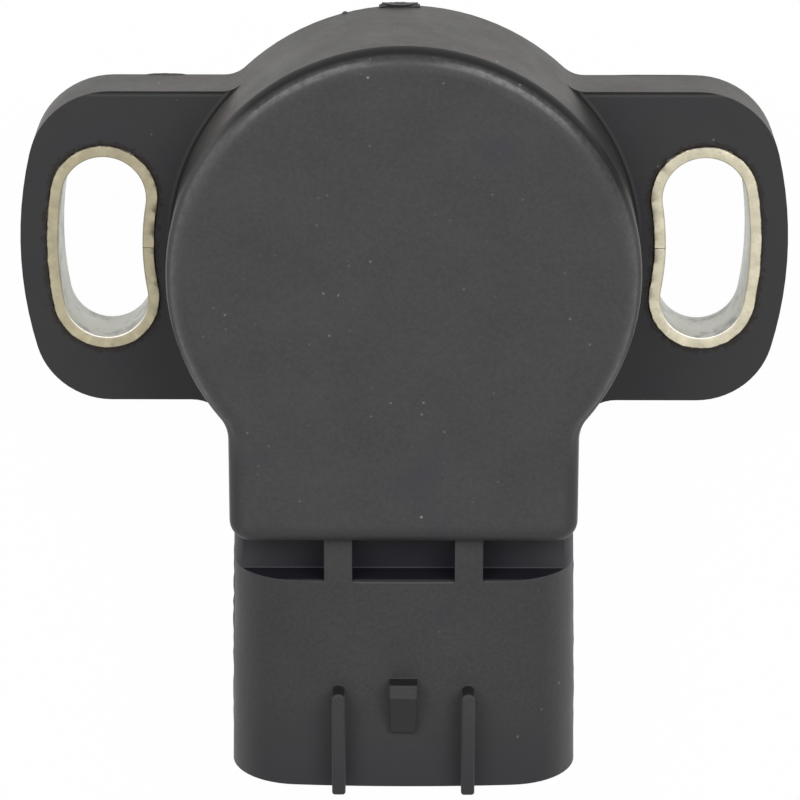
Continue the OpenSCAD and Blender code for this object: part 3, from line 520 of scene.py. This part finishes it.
drawnWire = {
    "darkTone": (0.34, 0.34, 0.36), "lightTone": (0.56, 0.56, 0.58),
    "cloudsPerMetre": 900.0, "grainsPerMetre": 9000.0, "roughness": (0.2, 0.32),
    "metallic": 1.0, "bumpStrength": 0.1, "bumpDepth": 0.006, "edgeRadius": 0.03,
}
springBronze = {
    "darkTone": (0.5, 0.33, 0.16), "lightTone": (0.72, 0.52, 0.3),
    "cloudsPerMetre": 900.0, "grainsPerMetre": 9000.0, "roughness": (0.2, 0.34),
    "metallic": 1.0, "bumpStrength": 0.1, "bumpDepth": 0.005, "edgeRadius": 0.02,
}
firedAlumina = {
    "darkTone": (0.66, 0.64, 0.57), "lightTone": (0.82, 0.8, 0.74),
    "cloudsPerMetre": 350.0, "grainsPerMetre": 8000.0, "roughness": (0.55, 0.7),
    "bumpStrength": 0.12, "bumpDepth": 0.01, "edgeRadius": 0.05,
}
carbonInk = {
    "darkTone": (0.008, 0.008, 0.008), "lightTone": (0.02, 0.02, 0.02),
    "cloudsPerMetre": 1500.0, "grainsPerMetre": 12000.0, "roughness": (0.3, 0.45),
    "bumpStrength": 0.2, "bumpDepth": 0.004, "edgeRadius": 0.02,
}
silverInk = {
    "darkTone": (0.48, 0.47, 0.44), "lightTone": (0.68, 0.67, 0.64),
    "cloudsPerMetre": 1500.0, "grainsPerMetre": 12000.0, "roughness": (0.42, 0.6),
    "metallic": 0.9, "bumpStrength": 0.2, "bumpDepth": 0.004, "edgeRadius": 0.02,
}
tinSolder = {
    "darkTone": (0.52, 0.52, 0.52), "lightTone": (0.74, 0.74, 0.74),
    "cloudsPerMetre": 1800.0, "grainsPerMetre": 6000.0, "roughness": (0.15, 0.35),
    "metallic": 1.0, "bumpStrength": 0.35, "bumpDepth": 0.02, "edgeRadius": 0.05,
}
washerPlastic = {
    "darkTone": (0.62, 0.58, 0.48), "lightTone": (0.74, 0.71, 0.62),
    "cloudsPerMetre": 600.0, "grainsPerMetre": 5000.0, "roughness": (0.35, 0.48),
    "bumpStrength": 0.1, "bumpDepth": 0.01, "edgeRadius": 0.05,
}


def finishNode(name, mat):
    slots = nodes[name].data.materials
    for index in range(len(slots)):
        slots[index] = mat
    if not slots:
        slots.append(mat)


finishNode("housing", housingFinish())
byFinish = [
    ("coverPlastic", coverPlastic, ["rear_cover"]),
    ("curedSealant", curedSealant, ["cover_sealant"]),
    ("rubberSeal", rubberSeal, ["mount_seal", "shaft_seal"]),
    ("tinnedBrass", tinnedBrass, ["supply_terminal", "signal_terminal", "ground_terminal"]),
    ("firedAlumina", firedAlumina, ["sensor_board"]),
    ("carbonInk", carbonInk, ["resistor_track"]),
    ("silverInk", silverInk, ["collector_track", "supply_lead", "ground_lead"]),
    ("tinSolder", tinSolder, ["supply_solder", "signal_solder", "ground_solder"]),
    ("washerPlastic", washerPlastic, ["thrust_washer"]),
    ("rotorPlastic", rotorPlastic, ["rotor"]),
    ("machinedBrass", machinedBrass, ["drive_insert"]),
    ("springBronze", springBronze, ["wiper"]),
]
for name, look, users in byFinish:
    made = surfaceFinish(name, look)[0]
    for user in users:
        finishNode(user, made)
print("finishes made")


# modelling helpers

def deselectAll():
    if bpy.context.object and bpy.context.object.mode != "OBJECT":
        bpy.ops.object.mode_set(mode="OBJECT")
    bpy.ops.object.select_all(action="DESELECT")


def makeActive(obj):
    deselectAll()
    bpy.context.view_layer.objects.active = obj
    obj.select_set(True)


def editAll(obj):
    makeActive(obj)
    bpy.ops.object.mode_set(mode="EDIT")
    bpy.ops.mesh.select_all(action="SELECT")


def pickVerts(obj, wanted):
    bpy.ops.mesh.select_all(action="DESELECT")
    bpy.ops.mesh.select_mode(type="VERT")
    bm = bmesh.from_edit_mesh(obj.data)
    for vert in bm.verts:
        vert.select_set(wanted(vert.co))
    bm.select_flush_mode()
    bmesh.update_edit_mesh(obj.data)


def settle(obj, angle=30.0):
    # place, turn and size go into the mesh, and flat faces stay crisp
    makeActive(obj)
    bpy.ops.object.transform_apply(location=True, rotation=True, scale=True)
    bpy.ops.object.shade_smooth_by_angle(angle=math.radians(angle))
    return obj


def applyModifier(obj, kind, **settings):
    makeActive(obj)
    made = obj.modifiers.new(kind.title(), kind)
    for key, value in settings.items():
        setattr(made, key, value)
    bpy.ops.object.modifier_apply(modifier=made.name)


def faceOutward(obj):
    # a spun shape may come out inside out
    editAll(obj)
    bpy.ops.mesh.remove_doubles(threshold=1e-5)
    bpy.ops.mesh.normals_make_consistent(inside=False)
    if bmesh.from_edit_mesh(obj.data).calc_volume(signed=True) < 0:
        bpy.ops.mesh.flip_normals()


def putFinish(obj, mat, body):
    obj.data.materials.clear()
    obj.data.materials.append(mat)
    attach(obj, body)
    return obj


# rolled strips of the slots, in place of the plain ones

strip = {"height": 4.38, "seam": 0.04, "rimRound": 0.08, "rimSegments": 2, "burr": 0.08,
         "burrDeep": 0.088, "burrFrom": 0.8, "endSteps": 44, "outerSteps": 24, "innerSteps": 9}


def slotEnd():
    # the end of the slot's middle line
    turn = math.radians(slotPath["turn"])
    return slotPath["pitchRadius"] * math.cos(turn), slotPath["pitchRadius"] * math.sin(turn)


def rolledStripPiece(name, side):
    # the strip's section stands at the seam and is swept along the kidney's five arcs
    middle = slotPath["pitchRadius"] - slotPath["clearWidth"] / 2 - slotPath["wall"] / 2
    deselectAll()
    bpy.ops.mesh.primitive_plane_add(size=1)
    obj = bpy.context.object
    obj.name = name
    editAll(obj)
    bpy.ops.transform.resize(value=(slotPath["wall"], strip["height"], 1))
    bpy.ops.transform.rotate(value=math.pi / 2, orient_axis="X", center_override=(0, 0, 0))
    bpy.ops.transform.translate(value=(middle, strip["seam"] / 2, strip["height"] / 2))
    turn = math.radians(slotPath["turn"])
    half = turn - strip["seam"] / 2 / middle
    endX, endY = slotEnd()
    sweeps = [
        (strip["innerSteps"], -half, (0, 0, 0)), (strip["endSteps"], math.pi, (endX, endY, 0)),
        (strip["outerSteps"], 2 * turn, (0, 0, 0)),
        (strip["endSteps"], math.pi, (endX, -endY, 0)), (strip["innerSteps"], -half, (0, 0, 0)),
    ]
    for steps, angle, centre in sweeps:
        bpy.ops.mesh.spin(steps=steps, angle=angle, center=centre, axis=(0, 0, 1))
    bpy.ops.mesh.select_all(action="SELECT")
    bpy.ops.mesh.normals_make_consistent(inside=False)
    # broken edges all round, but the cut ends at the seam stay crisp
    bpy.ops.mesh.select_mode(type="EDGE")
    bpy.ops.mesh.select_all(action="DESELECT")
    bpy.ops.mesh.edges_select_sharp(sharpness=math.radians(60))
    bm = bmesh.from_edit_mesh(obj.data)
    for edge in bm.edges:
        if all(abs(vert.co.y) < strip["seam"] for vert in edge.verts):
            edge.select_set(False)
    bmesh.update_edit_mesh(obj.data)
    bpy.ops.mesh.bevel(offset=strip["rimRound"], segments=strip["rimSegments"], affect="EDGES")
    # a burr where the plastic met the strip's front
    pickVerts(obj, lambda co: co.z > strip["height"] - strip["burrDeep"] and
              stripDepth(co) > strip["burrFrom"])
    bpy.ops.transform.vertex_random(offset=strip["burr"], seed=3 + side)
    bpy.ops.mesh.select_all(action="SELECT")
    if side < 0:
        bpy.ops.transform.resize(value=(-1, 1, 1), center_override=(0, 0, 0))
    faceOutward(obj)
    bpy.ops.transform.resize(value=(mm, mm, mm), center_override=(0, 0, 0))
    bpy.ops.object.mode_set(mode="OBJECT")
    depth = obj.data.attributes.new("wallDepth", "FLOAT", "POINT")
    for vert, value in zip(obj.data.vertices, depth.data):
        value.value = stripDepth(vert.co / mm)
    return settle(obj, 35)


def stripDepth(co):
    # 0 on the clear side of the strip's wall and 1 on the side that the plastic holds
    x, y = abs(co.x), co.y
    if abs(math.atan2(y, x)) < math.radians(slotPath["turn"]):
        away = abs(math.hypot(x, y) - slotPath["pitchRadius"])
    else:
        endX, endY = slotEnd()
        away = math.hypot(x - endX, y - math.copysign(endY, y))
    return (away - slotPath["clearWidth"] / 2) / slotPath["wall"]


for side, sign in (("left", -1), ("right", 1)):
    piece = rolledStripPiece(side + "RolledStrip", sign)
    putFinish(piece, stripFinish(side), "body")
    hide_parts(side + "_bushing")
print("rolled strips made")


# burrs that the mould left: a nub beside the gate, the gate's torn edge, and flash on both ears
# and along the sides of the connector. Each runs from start to end, with the outside on its left

mouldBurrs = [
    {"start": (-4.1, 14.69), "end": (-3.72, 14.79), "high": 0.12, "deep": 0.45, "seed": 2},
    {"start": (-1.66, 15.3), "end": (-0.1, 15.42), "high": 0.1, "deep": 0.5, "seed": 5},
    {"start": (-0.9, 15.42), "end": (1.02, 15.32), "high": 0.12, "deep": 0.62, "seed": 7},
    {"start": (-17.0, 10.575), "end": (-14.3, 10.575), "high": 0.1, "deep": 0.12, "seed": 11},
    {"start": (13.7, 10.575), "end": (19.1, 10.575), "high": 0.035, "deep": 0.1, "seed": 13},
    {"start": (-11.56, -33.4), "end": (-11.3, -19.0), "high": 0.09, "deep": 0.3, "seed": 17,
     "low": 5.9, "ragged": 0.85, "cuts": 26},
    {"start": (11.3, -19.0), "end": (11.56, -33.6), "high": 0.08, "deep": 0.3, "seed": 19,
     "low": 5.9, "ragged": 0.85, "cuts": 26},
]
plainBurr = {"cuts": 9, "sink": 0.06, "ragged": 0.35, "low": 0.02, "thinning": 0.6, "blunt": 0.6}


def mouldBurrPiece(settings, index):
    burr = {**plainBurr, **settings}
    deselectAll()
    bpy.ops.mesh.primitive_cube_add(size=1)
    obj = bpy.context.object
    obj.name = "mouldBurr" + str(index)
    editAll(obj)
    bpy.ops.mesh.subdivide(number_cuts=burr["cuts"])
    start, end = Vector((*burr["start"], 0)), Vector((*burr["end"], 0))
    outward = Vector((0, 0, 1)).cross(end - start).normalized()
    drawn = random.Random(burr["seed"])
    heights = [drawn.uniform(1 - burr["ragged"], 1) for step in range(burr["cuts"] + 2)]
    bm = bmesh.from_edit_mesh(obj.data)
    for vert in bm.verts:
        along, up, back = (part + 0.5 for part in vert.co)
        step = round(along * (burr["cuts"] + 1))
        high = burr["high"] * heights[step] * math.sin(math.pi * along) ** burr["blunt"]
        # the burr thins towards its crest, and its foot sinks into the housing
        deep = burr["deep"] * (1 - burr["thinning"] * up)
        vert.co = start.lerp(end, along) + outward * (up * high - (1 - up) * burr["sink"])
        vert.co.z = burr["low"] + back * deep
    bmesh.update_edit_mesh(obj.data)
    faceOutward(obj)
    bpy.ops.transform.resize(value=(mm, mm, mm), center_override=(0, 0, 0))
    bpy.ops.object.mode_set(mode="OBJECT")
    return settle(obj, 40)


flashPlastic = dict(mouldedPlastic, darkTone=(0.02, 0.0195, 0.019), lightTone=(0.075, 0.073, 0.07),
                    grainsPerMetre=5200.0)
flashFinish = surfaceFinish("flashPlastic", flashPlastic)[0]
for index, burr in enumerate(mouldBurrs):
    putFinish(mouldBurrPiece(burr, index), flashFinish, "body")
print("mould burrs made")


# return spring, wound from a round wire with a leg in the cover and one in the rotor

coil = {"radius": 7.6, "wire": 0.55, "turns": 3.5, "low": 2.8, "high": 5.25, "footAngle": 200.0,
        "bendAngle": 4.0, "footEnd": 1.4, "topEnd": 6.1, "sides": 14, "stepsPerTurn": 60,
        "bendSteps": 7, "ringReach": 0.52, "ringFlat": 0.01}


def returnSpringPiece():
    bend = coil["radius"] * math.radians(coil["bendAngle"])
    start = math.radians(coil["footAngle"] + coil["bendAngle"])
    swept = math.radians(360 * coil["turns"] - 2 * coil["bendAngle"])
    rise = coil["high"] - coil["low"]
    deselectAll()
    bpy.ops.mesh.primitive_circle_add(vertices=coil["sides"], radius=coil["wire"] / 2)
    obj = bpy.context.object
    obj.name = "woundSpring"
    editAll(obj)
    bpy.ops.transform.rotate(value=math.pi / 2, orient_axis="X", center_override=(0, 0, 0))
    bpy.ops.transform.translate(value=(coil["radius"], 0, coil["low"]))
    bpy.ops.transform.rotate(value=-start, orient_axis="Z", center_override=(0, 0, 0))
    bpy.ops.object.mode_set(mode="OBJECT")
    steps = int(coil["turns"] * coil["stepsPerTurn"])
    applyModifier(obj, "SCREW", angle=swept, screw_offset=rise, steps=steps, render_steps=steps,
                  use_merge_vertices=False)
    # each end of the wire bends into a leg: the foot into the cover, the top into the rotor
    for angle, level, goal in ((start, coil["low"], coil["footEnd"]),
                               (start + swept, coil["high"], coil["topEnd"])):
        outward = Vector((math.cos(angle), math.sin(angle), 0))
        place = outward * coil["radius"] + Vector((0, 0, level))
        down = goal < level
        centre = place + Vector((0, 0, -bend if down else bend))
        along = outward.cross(Vector((0, 0, 1)))
        editAll(obj)
        pickVerts(obj, lambda co: (co - place).length < coil["wire"] * coil["ringReach"] and
                  abs((co - place).dot(along)) < coil["ringFlat"])
        bpy.ops.mesh.spin(steps=coil["bendSteps"], angle=math.pi / 2, center=centre,
                          axis=outward)
        legStart = level - bend if down else level + bend
        bpy.ops.mesh.extrude_region_move(TRANSFORM_OT_translate={"value": (0, 0, goal - legStart)})
        bpy.ops.mesh.edge_face_add()
        bpy.ops.object.mode_set(mode="OBJECT")
    faceOutward(obj)
    bpy.ops.transform.resize(value=(mm, mm, mm), center_override=(0, 0, 0))
    bpy.ops.object.mode_set(mode="OBJECT")
    return settle(obj, 50)


spring = returnSpringPiece()
spring.data.materials.append(surfaceFinish("drawnWire", drawnWire)[0])
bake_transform(spring)
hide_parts("return_spring")
print("return spring made")


# floor, world and lamps

studio = {"floorSize": 3.0, "floorGap": 0.02, "floorTone": 0.8, "floorRoughness": 0.9,
          "shownWhite": 0.985, "worldLight": 0.2}


def seenDirectly(tree):
    # 1 for what the camera sees itself or in metal, glass and gloss
    path = tree.nodes.new("ShaderNodeLightPath")
    seen = maths(tree, "MAXIMUM", path.outputs["Is Camera Ray"], path.outputs["Is Glossy Ray"])
    return maths(tree, "MAXIMUM", seen, path.outputs["Is Transmission Ray"])


def makeFloor():
    deselectAll()
    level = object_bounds()[0].z - studio["floorGap"] * mm
    bpy.ops.mesh.primitive_plane_add(size=studio["floorSize"], location=(0, 0, level))
    floor = bpy.context.object
    floor.name = "floor"
    bpy.ops.object.transform_apply(location=True, rotation=True, scale=True)
    mat = bpy.data.materials.new("floorWhite")
    mat.use_nodes = True
    tree = mat.node_tree
    shader = tree.nodes["Principled BSDF"]
    tone = studio["floorTone"]
    shader.inputs["Base Color"].default_value = (tone, tone, tone, 1.0)
    shader.inputs["Roughness"].default_value = studio["floorRoughness"]
    glow = addNode(tree, "ShaderNodeEmission", {"Color": (1, 1, 1, 1), "Strength": 1.0})
    share = maths(tree, "MULTIPLY", seenDirectly(tree), studio["shownWhite"])
    mix = addNode(tree, "ShaderNodeMixShader", {0: share})
    tree.links.new(shader.outputs[0], mix.inputs[1])
    tree.links.new(glow.outputs[0], mix.inputs[2])
    tree.links.new(mix.outputs[0], tree.nodes["Material Output"].inputs["Surface"])
    floor.data.materials.append(mat)


def makeWorld():
    world = bpy.data.worlds.new("studioWorld")
    bpy.context.scene.world = world
    world.use_nodes = True
    tree = world.node_tree
    shade = tree.nodes["Background"]
    shade.inputs["Color"].default_value = (1.0, 1.0, 1.0, 1.0)
    level = spread(tree, seenDirectly(tree), 0.0, 1.0, studio["worldLight"], 1.0)
    tree.links.new(level, shade.inputs["Strength"])


# the lamps stand beyond the top of the body, so that what faces the connector is darker
lampAim = (0.0, -0.012, 0.0)
lamps = [
    {"name": "leftSoftbox", "place": (-0.27, 0.36, 0.44), "size": (0.42, 0.34), "watts": 1.95},
    {"name": "rightSoftbox", "place": (0.29, 0.36, 0.44), "size": (0.42, 0.34), "watts": 2.5},
]


def makeLamps():
    for lamp in lamps:
        data = bpy.data.lights.new(lamp["name"], "AREA")
        data.energy = lamp["watts"]
        data.shape = "RECTANGLE"
        data.size, data.size_y = lamp["size"]
        made = bpy.data.objects.new(lamp["name"], data)
        bpy.context.collection.objects.link(made)
        made.location = lamp["place"]
        aim = Vector(lampAim) - Vector(lamp["place"])
        made.rotation_euler = aim.to_track_quat("-Z", "Y").to_euler()


# fitted to the photograph, in metres and degrees
camera = {"target": (-0.000277, -0.01213, 0.0), "distance": 0.2552, "lean": 19.74, "turn": 0.206,
          "roll": 0.04, "lens": 169.6, "sensorWidth": 36.0, "clip": (0.01, 10.0)}


def makeCamera():
    lean, turn, roll = (math.radians(camera[key]) for key in ("lean", "turn", "roll"))
    back = Vector((math.sin(turn) * math.cos(lean), math.sin(lean),
                   math.cos(turn) * math.cos(lean)))
    right = Vector((0, 1, 0)).cross(back).normalized()
    up = back.cross(right)
    tiltedRight = right * math.cos(roll) + up * math.sin(roll)
    tiltedUp = up * math.cos(roll) - right * math.sin(roll)
    data = bpy.data.cameras.new("photoCamera")
    data.lens = camera["lens"]
    data.sensor_width = camera["sensorWidth"]
    data.clip_start, data.clip_end = camera["clip"]
    made = bpy.data.objects.new("photoCamera", data)
    bpy.context.collection.objects.link(made)
    turnTo = Matrix((tiltedRight, tiltedUp, back)).transposed().to_4x4()
    made.matrix_world = Matrix.Translation(
        Vector(camera["target"]) + back * camera["distance"]) @ turnTo
    bpy.context.scene.camera = made


makeCamera()
makeWorld()
makeLamps()
makeFloor()
bpy.context.scene.view_settings.view_transform = "Standard"
print("studio made")
